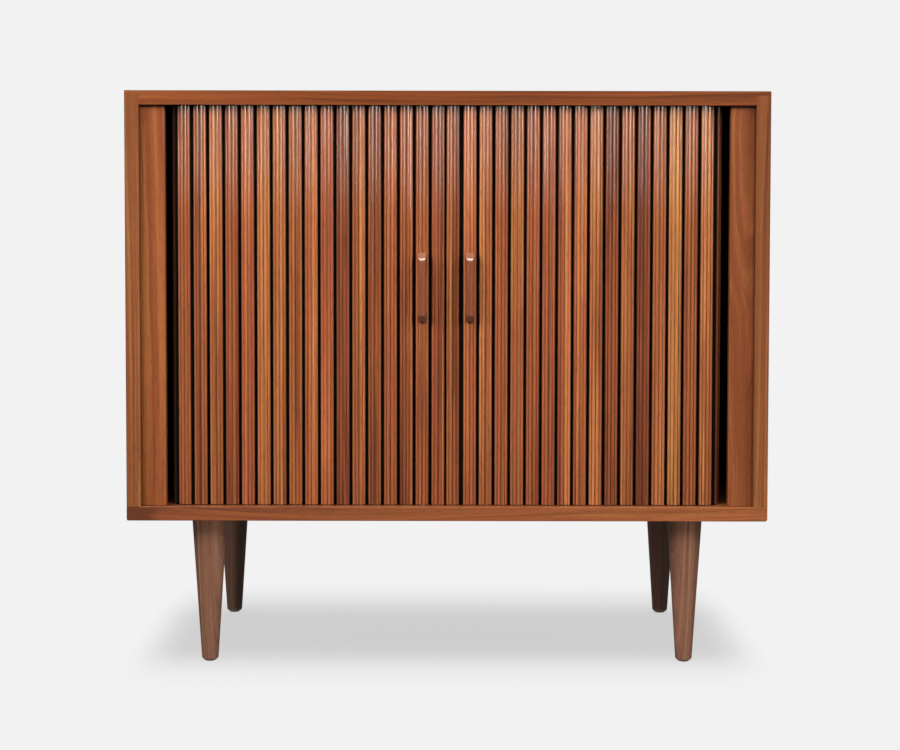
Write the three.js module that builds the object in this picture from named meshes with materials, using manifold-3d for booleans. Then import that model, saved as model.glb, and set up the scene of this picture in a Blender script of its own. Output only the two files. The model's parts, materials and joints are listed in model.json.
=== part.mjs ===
// Tambour door cabinet on four turned legs.
// Units are millimetres, +Z is up, the front faces -Y, +X is to the viewer's right.
// Inside the main group y = 0 is the front edge of the case; the group is then moved so that the
// origin of the whole model lies on the floor under the middle of its bounding box.

import * as THREE from 'three';
import { mergeVertices } from 'three/addons/utils/BufferGeometryUtils.js';
import Module from 'manifold-3d';

// ---------------------------------------------------------------- driving dimensions
const CASE_W = 914;            // outside width
const CASE_D = 457;            // outside depth
const CASE_BOTTOM = 216;       // underside of the case above the floor
const CASE_TOP = 828;          // top surface above the floor
const PANEL_T = 20.3;          // thickness of the four case panels
const TOP_LAP = 6.2;           // the top panel laps over the ends of the side panels by this thickness
const SEAM = 0.15;             // clearance in each glued seam of the case

const RABBET_W = 8;            // rabbet for the back panel, into the panel thickness
const RABBET_D = 9.5;          // rabbet depth from the back edge
const BACK_T = 6;              // back panel thickness
const BACK_INSET = 3;          // back panel's face in from the back edge

const JAMB_INNER = 401.5;      // half distance between the jamb strips
const JAMB_SETBACK = 9;        // jamb face behind the case front
const JAMB_T = 15;             // jamb thickness

const SLAT_W = 19;             // slat width
const SLAT_FACE_Y = 14;        // slat face behind the case front
const SLAT_FRONT = 4;          // from the tongue's centre line to the slat face
const SLAT_BACK = 3;           // from the tongue's centre line to the slat's back
const SLATS = 18;              // slats on each door
const TONGUE_W = 6;            // tongue at each slat end, along the door
const TONGUE_T = 3;            // tongue thickness
const SLAT_CLEAR = 0.5;        // slat shoulder to panel
const TONGUE_FOOT = 0.3;       // lower tongue above the groove floor
const TONGUE_UP = 5;           // upper tongue above the slat shoulder

const GROOVE_W = 6;            // groove that the tongues run in
const GROOVE_DEPTH = 6;
const TURN_R = 20;             // radius of the groove's centre line at the corners
const GROOVE_END_Y = 380;      // where the grooves stop, near the back
const GROOVE_EASE = 1.7;       // behind the corner the groove is this much wider on its inner side

// each door: side (-1 left, +1 right), pitch, place of the second slat, place of the lead slat,
// and how far slat 17 has gone past the start of the corner when the door is shut
const DOORS = [
  { name: 'left', side: -1, pitch: 22.6, second: 36.0, lead: 13.3, past: 4.0 },
  { name: 'right', side: 1, pitch: 22.5, second: 32.0, lead: 7.8, past: 1.5 },
];

const LINER_OUT = 377;         // outer face of the inner liners
const LINER_T = 9;
const LINER_FRONT_Y = 40;
const LINER_DADO = 3.5;        // liner edges let into the top and bottom panels

const SHELF_T = 16;
const SHELF_Z = 514;           // underside of the shelf
const SHELF_FRONT_Y = 50;
const SHELF_DADO = 3;          // tongues on the shelf ends, let into the liners
const SHELF_SHOULDER = 3;      // the tongues stand this far back from both shelf faces

const LEG_X = 346.2;           // leg axes
const LEG_INSET_Y = 63.9;      // leg axes from the front and back edges
const LEG_R_TOP = 25.6;
const LEG_R_FOOT = 12.0;
const LEG_FOOT_Z = 1.6;
const LEG_CHAMFER_R = 9.6;
const LEG_CHAMFER_Z = 4.4;
const PLATE = 60;              // leg mounting plate, square
const PLATE_T = 3;
const STUD_R = 4;
const STUD_LEN = 22;
const GLIDE_R = 8;
const GLIDE_STEM_R = 1.5;
const GLIDE_STEM_TOP = 12;

const HANDLE_W = 12;
const HANDLE_LOW = 500.7;
const HANDLE_HIGH = 598.7;
const HANDLE_OUT = 20;         // from the slat face to the front of the bar
const HANDLE_BAR = 9;          // bar thickness in front of the finger gap
const HANDLE_FOOT = 17;        // height of each foot
const HANDLE_BEVEL_Z = 10;
const HANDLE_BEVEL_Y = 13;

const Y_SHIFT = -(CASE_D - (HANDLE_OUT - SLAT_FACE_Y)) / 2;   // bounding box centred on y = 0

// ---------------------------------------------------------------- derived
const HALF_W = CASE_W / 2;
const INNER_X = HALF_W - PANEL_T;
const INNER_LOW = CASE_BOTTOM + PANEL_T;
const INNER_HIGH = CASE_TOP - PANEL_T;
const PATH_Y = SLAT_FACE_Y + SLAT_FRONT;
const ARC = TURN_R * Math.PI / 2;
for (const d of DOORS) d.corner = d.second + 15 * d.pitch - d.past;   // where the corner starts

// ---------------------------------------------------------------- solids
const wasm = await Module();
wasm.setup();

function toSolid(geometry) {
  const g = geometry.clone();
  for (const name of Object.keys(g.attributes)) if (name !== 'position') g.deleteAttribute(name);
  const m = mergeVertices(g, 1e-4);
  return new wasm.Manifold(new wasm.Mesh({
    numProp: 3,
    vertProperties: new Float32Array(m.attributes.position.array),
    triVerts: new Uint32Array(m.index.array),
  }));
}

function toGeometry(solid) {
  const mesh = solid.getMesh();
  const n = mesh.numProp;
  const count = mesh.vertProperties.length / n;
  const pos = new Float32Array(count * 3);
  for (let i = 0; i < count; i++) for (let k = 0; k < 3; k++) pos[3 * i + k] = mesh.vertProperties[n * i + k];
  const g = new THREE.BufferGeometry();
  g.setAttribute('position', new THREE.BufferAttribute(pos, 3));
  g.setIndex(Array.from(mesh.triVerts));
  g.computeVertexNormals();
  return g;
}

// a block from its low and high corners
function block(x0, y0, z0, x1, y1, z1) {
  const g = new THREE.BoxGeometry(x1 - x0, y1 - y0, z1 - z0);
  g.translate((x0 + x1) / 2, (y0 + y1) / 2, (z0 + z1) / 2);
  return g;
}

// an outline in x, y raised from z0 to z1
function prismZ(points, z0, z1) {
  const shape = new THREE.Shape(points.map(([x, y]) => new THREE.Vector2(x, y)));
  const g = new THREE.ExtrudeGeometry(shape, { depth: z1 - z0, bevelEnabled: false, steps: 1 });
  g.translate(0, 0, z0);
  return g;
}

// an outline in x, z carried from y0 to y1
function prismY(points, y0, y1) {
  const shape = new THREE.Shape(points.map(([x, z]) => new THREE.Vector2(x, -z)));
  const g = new THREE.ExtrudeGeometry(shape, { depth: y1 - y0, bevelEnabled: false, steps: 1 });
  g.rotateX(-Math.PI / 2);          // (x, -z, d) -> (x, d, z)
  g.translate(0, y0, 0);
  return g;
}

// an outline in y, z carried from x0 to x1
function prismX(points, x0, x1) {
  const shape = new THREE.Shape(points.map(([y, z]) => new THREE.Vector2(y, z)));
  const g = new THREE.ExtrudeGeometry(shape, { depth: x1 - x0, bevelEnabled: false, steps: 1 });
  // (y, z, d) -> (d, y, z)
  g.applyMatrix4(new THREE.Matrix4().set(0, 0, 1, 0, 1, 0, 0, 0, 0, 1, 0, 0, 0, 0, 0, 1));
  g.translate(x0, 0, 0);
  return g;
}

// a turned solid about the z axis from (radius, z) points that start and end on the axis
function turned(points, segments) {
  const g = new THREE.LatheGeometry(points.map(([r, z]) => new THREE.Vector2(r, z)), segments);
  g.rotateX(Math.PI / 2);
  return g;
}

// ---------------------------------------------------------------- materials
const wood = (color, roughness = 0.45) => new THREE.MeshStandardMaterial({ color, roughness, metalness: 0 });
const metal = (color, roughness = 0.4) => new THREE.MeshStandardMaterial({ color, roughness, metalness: 1 });
const CASE_WOOD = 0x84492a, JAMB_WOOD = 0x96532c, LEG_WOOD = 0x5f4434, LINER_WOOD = 0x8a5a38, BACK_WOOD = 0x7a5236;
const SLAT_TONES = [0x9a5a34, 0x8a4a30, 0xa8683a, 0x7c4030, 0x94583a];

const cabinet = new THREE.Group();
cabinet.position.y = Y_SHIFT;

function add(name, geometry, material, parent = cabinet) {
  const mesh = new THREE.Mesh(geometry, material);
  mesh.name = name;
  parent.add(mesh);
  return mesh;
}

// ---------------------------------------------------------------- case panels
const rabbet = toSolid(block(-INNER_X - RABBET_W, CASE_D - RABBET_D, INNER_LOW - RABBET_W,
  INNER_X + RABBET_W, CASE_D + 5, INNER_HIGH + RABBET_W));

// outline of the groove: it runs from the back at the left, across the front, to the back at the right
function grooveOutline() {
  const h = GROOVE_W / 2, steps = 8;
  const ease = a => GROOVE_EASE * Math.min(1, Math.max(0, (a - 0.7) / 0.55));   // a is 0 at the front
  const [L, R] = DOORS;
  const outer = [], inner = [];
  outer.push([-(L.corner + TURN_R) - h, GROOVE_END_Y]);
  inner.push([-(L.corner + TURN_R) + h + GROOVE_EASE, GROOVE_END_Y]);
  for (let i = 0; i <= steps; i++) {
    const a = Math.PI / 2 * i / steps;              // from the left side round to the front
    const c = Math.cos(a), s = Math.sin(a);
    outer.push([-L.corner - (TURN_R + h) * c, PATH_Y + TURN_R - (TURN_R + h) * s]);
    const r = TURN_R - h - ease(Math.PI / 2 - a);
    inner.push([-L.corner - r * c, PATH_Y + TURN_R - r * s]);
  }
  for (let i = 0; i <= steps; i++) {
    const a = Math.PI / 2 * i / steps;              // from the front round to the right side
    const c = Math.cos(a), s = Math.sin(a);
    outer.push([R.corner + (TURN_R + h) * s, PATH_Y + TURN_R - (TURN_R + h) * c]);
    const r = TURN_R - h - ease(a);
    inner.push([R.corner + r * s, PATH_Y + TURN_R - r * c]);
  }
  outer.push([R.corner + TURN_R + h, GROOVE_END_Y]);
  inner.push([R.corner + TURN_R - h - GROOVE_EASE, GROOVE_END_Y]);
  return outer.concat(inner.reverse());
}
const groove = grooveOutline();

function linerDadoes(z0, z1) {
  const w = 0.3;
  return toSolid(block(LINER_OUT - LINER_T - w, LINER_FRONT_Y - w, z0, LINER_OUT + w, CASE_D - RABBET_D + 1, z1))
    .add(toSolid(block(-LINER_OUT - w, LINER_FRONT_Y - w, z0, -LINER_OUT + LINER_T + w, CASE_D - RABBET_D + 1, z1)));
}

{
  // full thickness between the sides, and a lap over their ends
  const lap = CASE_TOP - TOP_LAP, shoulder = INNER_X - SEAM;
  const outline = [[-HALF_W, CASE_TOP], [HALF_W, CASE_TOP], [HALF_W, lap], [shoulder, lap], [shoulder, INNER_HIGH],
    [-shoulder, INNER_HIGH], [-shoulder, lap], [-HALF_W, lap]];
  const top = toSolid(prismY(outline.reverse(), 0, CASE_D))
    .subtract(rabbet)
    .subtract(toSolid(prismZ(groove, INNER_HIGH - 5, INNER_HIGH + GROOVE_DEPTH)))
    .subtract(linerDadoes(INNER_HIGH - 5, INNER_HIGH + LINER_DADO));
  add('top_panel', toGeometry(top), wood(CASE_WOOD));
}

const LEG_PLACES = [
  ['front_left', -LEG_X, LEG_INSET_Y], ['front_right', LEG_X, LEG_INSET_Y],
  ['back_left', -LEG_X, CASE_D - LEG_INSET_Y], ['back_right', LEG_X, CASE_D - LEG_INSET_Y],
];

{
  // the sides stand on it
  const outline = [[-HALF_W, CASE_BOTTOM], [HALF_W, CASE_BOTTOM], [HALF_W, INNER_LOW], [-HALF_W, INNER_LOW]];
  let bottom = toSolid(prismY(outline, 0, CASE_D))
    .subtract(rabbet)
    .subtract(toSolid(prismZ(groove, INNER_LOW - GROOVE_DEPTH, INNER_LOW + 5)))
    .subtract(linerDadoes(INNER_LOW - LINER_DADO, INNER_LOW + 5));
  const p = PLATE / 2 + 0.5;
  for (const [, x, y] of LEG_PLACES) {
    bottom = bottom.subtract(toSolid(block(x - p, y - p, CASE_BOTTOM - 5, x + p, y + p, CASE_BOTTOM + PLATE_T + 0.4)));
  }
  add('bottom_panel', toGeometry(bottom), wood(CASE_WOOD));
}

for (const side of [-1, 1]) {
  const low = INNER_LOW + SEAM, high = CASE_TOP - TOP_LAP - SEAM;
  const outline = [[side * HALF_W, low], [side * HALF_W, high], [side * INNER_X, high], [side * INNER_X, low]];
  if (side < 0) outline.reverse();
  const panel = toSolid(prismY(outline, 0, CASE_D)).subtract(rabbet);
  add(side < 0 ? 'left_side_panel' : 'right_side_panel', toGeometry(panel), wood(CASE_WOOD));
}

// back panel in the rabbet
add('back_panel', block(-INNER_X - RABBET_W + 0.5, CASE_D - BACK_INSET - BACK_T, INNER_LOW - RABBET_W + 0.5,
  INNER_X + RABBET_W - 0.5, CASE_D - BACK_INSET, INNER_HIGH + RABBET_W - 0.5), wood(BACK_WOOD, 0.6));

// jamb strips at both ends of the front opening
for (const side of [-1, 1]) {
  const a = side * JAMB_INNER, b = side * (INNER_X - 0.1);
  add(side < 0 ? 'left_jamb_strip' : 'right_jamb_strip',
    block(Math.min(a, b), JAMB_SETBACK, INNER_LOW + 0.1, Math.max(a, b), JAMB_SETBACK + JAMB_T, INNER_HIGH - 0.1),
    wood(JAMB_WOOD));
}

// inner liners, with a housing for the shelf end
for (const side of [-1, 1]) {
  const a = side * (LINER_OUT - LINER_T), b = side * LINER_OUT;
  const board = toSolid(block(Math.min(a, b), LINER_FRONT_Y, INNER_LOW - LINER_DADO + 0.2,
    Math.max(a, b), CASE_D - RABBET_D - 0.2, INNER_HIGH + LINER_DADO - 0.2));
  const c = side * (LINER_OUT - LINER_T + SHELF_DADO + 0.3), d = side * (LINER_OUT - LINER_T - 5);
  const housing = toSolid(block(Math.min(c, d), SHELF_FRONT_Y - 0.3, SHELF_Z + SHELF_SHOULDER - 0.1,
    Math.max(c, d), CASE_D, SHELF_Z + SHELF_T - SHELF_SHOULDER + 0.3));
  add(side < 0 ? 'left_liner' : 'right_liner', toGeometry(board.subtract(housing)), wood(LINER_WOOD, 0.55));
}

// shelf between the liners, with a tongue along each end
{
  const e = LINER_OUT - LINER_T - 0.3, t = LINER_OUT - LINER_T + SHELF_DADO;
  const lo = SHELF_Z + SHELF_SHOULDER, hi = SHELF_Z + SHELF_T - SHELF_SHOULDER;
  const outline = [[-e, SHELF_Z], [e, SHELF_Z], [e, lo], [t, lo], [t, hi], [e, hi],
    [e, SHELF_Z + SHELF_T], [-e, SHELF_Z + SHELF_T], [-e, hi], [-t, hi], [-t, lo], [-e, lo]];
  add('shelf', toGeometry(toSolid(prismY(outline, SHELF_FRONT_Y, CASE_D - RABBET_D - 0.5))), wood(LINER_WOOD, 0.5));
}

// ---------------------------------------------------------------- legs, plates and glides
const legProfile = [
  [0, CASE_BOTTOM - STUD_LEN - 2.4],
  [STUD_R + 0.4, CASE_BOTTOM - STUD_LEN - 2.4],
  [STUD_R + 0.4, CASE_BOTTOM - 0.2],
  [LEG_R_TOP - 0.6, CASE_BOTTOM - 0.2],
  [LEG_R_TOP, CASE_BOTTOM - 0.8],
  [LEG_R_FOOT, LEG_CHAMFER_Z],
  [LEG_CHAMFER_R, LEG_FOOT_Z + 0.1],
  [GLIDE_STEM_R + 0.3, LEG_FOOT_Z + 0.1],
  [GLIDE_STEM_R + 0.3, GLIDE_STEM_TOP + 1],
  [0, GLIDE_STEM_TOP + 1],
].reverse();
const glideProfile = [
  [0, 0], [GLIDE_R - 0.5, 0], [GLIDE_R, 0.5], [GLIDE_R, LEG_FOOT_Z - 0.1], [GLIDE_STEM_R, LEG_FOOT_Z - 0.1],
  [GLIDE_STEM_R, GLIDE_STEM_TOP], [0, GLIDE_STEM_TOP],
];

const plateZ = CASE_BOTTOM + 0.1;
let plateSolid = toSolid(block(-PLATE / 2, -PLATE / 2, plateZ, PLATE / 2, PLATE / 2, plateZ + PLATE_T))
  .add(toSolid(turned([[0, plateZ - STUD_LEN], [STUD_R, plateZ - STUD_LEN], [STUD_R, plateZ + 1], [0, plateZ + 1]], 12)));
for (const sx of [-1, 1]) for (const sy of [-1, 1]) {
  const hole = turned([[0, plateZ - 2], [2.4, plateZ - 2], [2.4, plateZ + PLATE_T + 2], [0, plateZ + PLATE_T + 2]], 8);
  hole.translate(sx * 21.5, sy * 21.5, 0);
  plateSolid = plateSolid.subtract(toSolid(hole));
}
const plateGeometry = toGeometry(plateSolid);

for (const [place, x, y] of LEG_PLACES) {
  const leg = new THREE.Group();
  leg.position.set(x, y, 0);
  cabinet.add(leg);
  add(place + '_leg', toGeometry(toSolid(turned(legProfile, 28))), wood(LEG_WOOD, 0.5), leg);
  add(place + '_leg_plate', plateGeometry, metal(0x3a3a3c), leg);
  add(place + '_foot_glide', toGeometry(toSolid(turned(glideProfile, 20))), wood(0x4a463f, 0.6), leg);
}

// ---------------------------------------------------------------- tambour doors
// a point on the groove's centre line, u millimetres past the start of the corner
function onPath(corner, u) {
  if (u <= 0) return [corner + u, PATH_Y];
  if (u >= ARC) return [corner + TURN_R, PATH_Y + TURN_R + (u - ARC)];
  return [corner + TURN_R * Math.sin(u / TURN_R), PATH_Y + TURN_R * (1 - Math.cos(u / TURN_R))];
}

// section of one slat, width along x, thickness along y, tongue centre line at y = 0:
// two beads with a groove between them on the face, eased long edges
const hw = SLAT_W / 2, f = -SLAT_FRONT, b = SLAT_BACK;
const slatSection = [
  [-hw, f + 1.5], [-hw + 1.0, f + 0.35], [-hw + 4.6, f], [-1.3, f + 0.3], [0, f + 1.5],
  [1.3, f + 0.3], [hw - 4.6, f], [hw - 1.0, f + 0.35], [hw, f + 1.5], [hw, b], [-hw, b],
];
const slatGeometry = toGeometry(
  toSolid(prismZ(slatSection, INNER_LOW + SLAT_CLEAR, INNER_HIGH - SLAT_CLEAR))
    .add(toSolid(block(-TONGUE_W / 2, -TONGUE_T / 2, INNER_LOW - GROOVE_DEPTH + TONGUE_FOOT,
      TONGUE_W / 2, TONGUE_T / 2, INNER_HIGH - SLAT_CLEAR + TONGUE_UP))));

// section of the handle bar, flat at the back and rounded at the front
const handleFront = SLAT_FACE_Y - HANDLE_OUT;
const handleBack = SLAT_FACE_Y - 0.1;
const handleSection = (() => {
  const w = HANDLE_W / 2, pts = [[w, handleBack], [-w, handleBack]];
  const flat = handleFront + 5;
  for (let i = 0; i <= 8; i++) {
    const a = Math.PI * i / 8;
    pts.push([-w * Math.sign(Math.cos(a)) * Math.abs(Math.cos(a)) ** 0.7, flat - 5 * Math.sin(a) ** 0.7]);
  }
  return pts;
})();
const handleSide = [
  [handleBack, HANDLE_LOW], [handleFront + HANDLE_BEVEL_Y, HANDLE_LOW], [handleFront, HANDLE_LOW + HANDLE_BEVEL_Z],
  [handleFront, HANDLE_HIGH - HANDLE_BEVEL_Z], [handleFront + HANDLE_BEVEL_Y, HANDLE_HIGH], [handleBack, HANDLE_HIGH],
  [handleBack, HANDLE_HIGH - HANDLE_FOOT + 3], [handleFront + HANDLE_BAR + 3, HANDLE_HIGH - HANDLE_FOOT],
  [handleFront + HANDLE_BAR, HANDLE_HIGH - HANDLE_FOOT - 3],
  [handleFront + HANDLE_BAR, HANDLE_LOW + HANDLE_FOOT + 3],
  [handleFront + HANDLE_BAR + 3, HANDLE_LOW + HANDLE_FOOT], [handleBack, HANDLE_LOW + HANDLE_FOOT - 3],
].reverse();
const handleGeometry = toGeometry(
  toSolid(prismX(handleSide, -HANDLE_W / 2 - 1, HANDLE_W / 2 + 1))
    .intersect(toSolid(prismZ(handleSection.reverse(), HANDLE_LOW - 1, HANDLE_HIGH + 1))));

for (const door of DOORS) {
  const run = new THREE.Group();
  cabinet.add(run);
  for (let i = 1; i <= SLATS; i++) {
    // slat 1 is the lead slat at the middle; slat 17 is `past` beyond the start of the corner
    const u = i === 1 ? door.lead - door.corner : door.past - (17 - i) * door.pitch;
    const p = onPath(door.corner, u - TONGUE_W / 2), q = onPath(door.corner, u + TONGUE_W / 2);
    const slat = add(`${door.name}_slat_${String(i).padStart(2, '0')}`, slatGeometry,
      wood(SLAT_TONES[(i * 7 + (door.side > 0 ? 3 : 0)) % SLAT_TONES.length]), run);
    slat.position.set(door.side * (p[0] + q[0]) / 2, (p[1] + q[1]) / 2, 0);
    slat.rotation.z = door.side * Math.atan2(q[1] - p[1], q[0] - p[0]);
  }
  const handle = add(`${door.name}_handle`, handleGeometry, wood(0x8c4c2e, 0.35), run);
  handle.position.x = door.side * door.second;
}

const root = new THREE.Group();
root.add(cabinet);

export default root;
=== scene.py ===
"""Tambour door cabinet on four turned legs: the looks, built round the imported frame."""
import json
import math
import random

import bmesh
import bpy
from mathutils import Matrix, Vector


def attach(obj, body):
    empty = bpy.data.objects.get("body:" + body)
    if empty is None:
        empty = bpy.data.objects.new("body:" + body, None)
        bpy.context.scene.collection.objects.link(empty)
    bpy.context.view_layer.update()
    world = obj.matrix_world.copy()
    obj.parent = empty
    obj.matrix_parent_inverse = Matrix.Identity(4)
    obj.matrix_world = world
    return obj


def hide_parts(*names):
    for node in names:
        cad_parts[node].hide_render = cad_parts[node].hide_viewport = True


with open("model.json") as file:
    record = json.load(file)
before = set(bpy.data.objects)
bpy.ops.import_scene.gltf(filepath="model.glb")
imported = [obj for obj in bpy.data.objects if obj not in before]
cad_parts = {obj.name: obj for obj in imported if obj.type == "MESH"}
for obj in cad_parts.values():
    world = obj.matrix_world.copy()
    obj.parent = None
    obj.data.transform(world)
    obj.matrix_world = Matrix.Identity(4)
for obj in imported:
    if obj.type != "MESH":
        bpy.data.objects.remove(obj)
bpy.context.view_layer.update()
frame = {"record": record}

# ------------------------------------------------------------------ dimensions
# millimetres, y = 0 at the front edge of the case, as in the part's source
CASE_W, CASE_D, CASE_BOTTOM, CASE_TOP, PANEL_T = 914.0, 457.0, 216.0, 828.0, 20.3
RABBET_W, RABBET_D, BACK_T, BACK_INSET = 8.0, 9.5, 6.0, 3.0
JAMB_INNER, JAMB_SETBACK, JAMB_T = 401.5, 9.0, 15.0
SLAT_W, SLAT_FACE_Y, SLAT_FRONT, SLAT_BACK, SLATS = 19.0, 14.0, 4.0, 3.0, 18
TONGUE_W, TONGUE_T, SLAT_CLEAR, TONGUE_FOOT, TONGUE_UP = 6.0, 3.0, 0.5, 0.3, 5.0
GROOVE_W, GROOVE_DEPTH, TURN_R, GROOVE_END_Y, GROOVE_EASE = 6.0, 6.0, 20.0, 380.0, 1.7
DOORS = {
    "left": dict(side=-1, pitch=22.6, second=36.0, lead=13.3, past=4.0),
    "right": dict(side=1, pitch=22.5, second=32.0, lead=7.8, past=1.5),
}
LINER_OUT, LINER_T, LINER_FRONT_Y, LINER_DADO = 377.0, 9.0, 40.0, 3.5
SHELF_T, SHELF_Z, SHELF_FRONT_Y, SHELF_DADO, SHELF_SHOULDER = 16.0, 514.0, 50.0, 3.0, 3.0
LEG_X, LEG_INSET_Y = 346.2, 63.9
HANDLE_W, HANDLE_LOW, HANDLE_HIGH, HANDLE_OUT = 12.0, 500.7, 598.7, 20.0
HANDLE_BAR, HANDLE_FOOT, HANDLE_BEVEL_Z, HANDLE_BEVEL_Y = 9.0, 17.0, 10.0, 13.0
Y_SHIFT = -(CASE_D - (HANDLE_OUT - SLAT_FACE_Y)) / 2

HALF_W = CASE_W / 2
INNER_X = HALF_W - PANEL_T
INNER_LOW, INNER_HIGH = CASE_BOTTOM + PANEL_T, CASE_TOP - PANEL_T
PATH_Y = SLAT_FACE_Y + SLAT_FRONT
ARC = TURN_R * math.pi / 2
for d in DOORS.values():
    d["corner"] = d["second"] + 15 * d["pitch"] - d["past"]

BODY_OF = {n: b for b, ns in frame["record"]["behaviour"]["bodies"].items() for n in ns}
scene = bpy.context.scene

# ------------------------------------------------------------------ meshes


def to_object(name, bm, sharp=32.0, at=(0.0, Y_SHIFT, 0.0), turn=0.0, weighted=False):
    """bm is in millimetres; the object is placed at `at` millimetres of the row frame, turned about Z."""
    bmesh.ops.remove_doubles(bm, verts=bm.verts, dist=1e-5)
    bmesh.ops.recalc_face_normals(bm, faces=bm.faces)
    for f in bm.faces:
        f.smooth = True
    me = bpy.data.meshes.new(name)
    bm.to_mesh(me)
    bm.free()
    me.transform(Matrix.Scale(0.001, 4))
    me.set_sharp_from_angle(angle=math.radians(sharp))
    ob = bpy.data.objects.new(name, me)
    scene.collection.objects.link(ob)
    ob.location = Vector(at) * 0.001
    ob.rotation_euler = (0.0, 0.0, turn)
    if weighted:
        m = ob.modifiers.new("normals", "WEIGHTED_NORMAL")
        m.mode, m.weight, m.keep_sharp = "FACE_AREA", 50, True
        settle(ob)
    return ob


def settle(ob):
    """Applies every modifier on ob."""
    bpy.context.view_layer.update()
    dg = bpy.context.evaluated_depsgraph_get()
    me = bpy.data.meshes.new_from_object(ob.evaluated_get(dg), preserve_all_data_layers=True, depsgraph=dg)
    ob.modifiers.clear()
    old = ob.data
    ob.data = me
    me.name = ob.name
    if old.users == 0:
        bpy.data.meshes.remove(old)


def cut(ob, tools, solver="EXACT", sharp=32.0):
    """Takes the tool objects out of ob, and removes them. The new edges are shaded sharp like the others."""
    for t in tools:
        m = ob.modifiers.new("cut", "BOOLEAN")
        m.operation, m.object, m.solver = "DIFFERENCE", t, solver
        t.location = ob.location
    settle(ob)
    ob.data.set_sharp_from_angle(angle=math.radians(sharp))
    for t in tools:
        me = t.data
        bpy.data.objects.remove(t)
        bpy.data.meshes.remove(me)
    return ob


def prism(points, axis, lo, hi, bm=None):
    """A closed outline in the two other axes, in their order, carried along axis from lo to hi."""
    bm = bm or bmesh.new()

    def put(p, t):
        a, b = p
        return {"Z": (a, b, t), "Y": (a, t, b), "X": (t, a, b)}[axis]

    low = [bm.verts.new(put(p, lo)) for p in points]
    high = [bm.verts.new(put(p, hi)) for p in points]
    n = len(points)
    for i in range(n):
        bm.faces.new((low[i], low[(i + 1) % n], high[(i + 1) % n], high[i]))
    bm.faces.new(low[::-1])
    bm.faces.new(high)
    return bm


def block(x0, y0, z0, x1, y1, z1, bm=None):
    return prism([(x0, y0), (x1, y0), (x1, y1), (x0, y1)], "Z", z0, z1, bm)


def wear_layer(bm):
    return bm.faces.layers.float.get("wear_dirt_and_painted_edge_light") or bm.faces.layers.float.new("wear_dirt_and_painted_edge_light")


def ease(bm, edges, width, segments=3, mark=1.0):
    """Rounds edges, and marks the new faces: 1 where they are rubbed light, -1 where they are painted dark as shade."""
    layer = wear_layer(bm)
    made = bmesh.ops.bevel(bm, geom=list(edges), offset=width, offset_type="OFFSET", segments=segments, profile=0.5,
                           affect="EDGES", clamp_overlap=True)
    for f in made["faces"]:
        f[layer] = mark


def eased_box(x0, y0, z0, x1, y1, z1, width=0.7, segments=3):
    bm = block(x0, y0, z0, x1, y1, z1)
    wear_layer(bm)
    ease(bm, bm.edges[:], width, segments)
    return bm


def turned(profile, segments, bm=None):
    """A solid turned about Z from (radius, z) points, first and last on the axis."""
    bm = bm or bmesh.new()
    rings = []
    for r, z in profile:
        if r < 1e-6:
            rings.append([bm.verts.new((0, 0, z))])
        else:
            rings.append([bm.verts.new((r * math.cos(2 * math.pi * i / segments),
                                        r * math.sin(2 * math.pi * i / segments), z)) for i in range(segments)])
    for a, b in zip(rings, rings[1:]):
        for i in range(segments):
            j = (i + 1) % segments
            if len(a) == 1 and len(b) == 1:
                continue
            if len(a) == 1:
                bm.faces.new((a[0], b[i], b[j]))
            elif len(b) == 1:
                bm.faces.new((a[i], b[0], a[j]))
            else:
                bm.faces.new((a[i], b[i], b[j], a[j]))
    return bm


def rounded(points, radii, steps=4):
    """An open polyline with its inner corners rounded by radii (one per point, 0 = sharp)."""
    out = []
    for i, p in enumerate(points):
        r = radii[i]
        if r <= 0 or i == 0 or i == len(points) - 1:
            out.append(p)
            continue
        a, b, c = Vector(points[i - 1]), Vector(p), Vector(points[i + 1])
        u, v = (a - b).normalized(), (c - b).normalized()
        s = b + u * min(r, (a - b).length * 0.49)
        e = b + v * min(r, (c - b).length * 0.49)
        for k in range(steps + 1):
            t = k / steps
            q = s * (1 - t) ** 2 + b * 2 * t * (1 - t) + e * t * t
            out.append((q.x, q.y))
    return out


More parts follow.
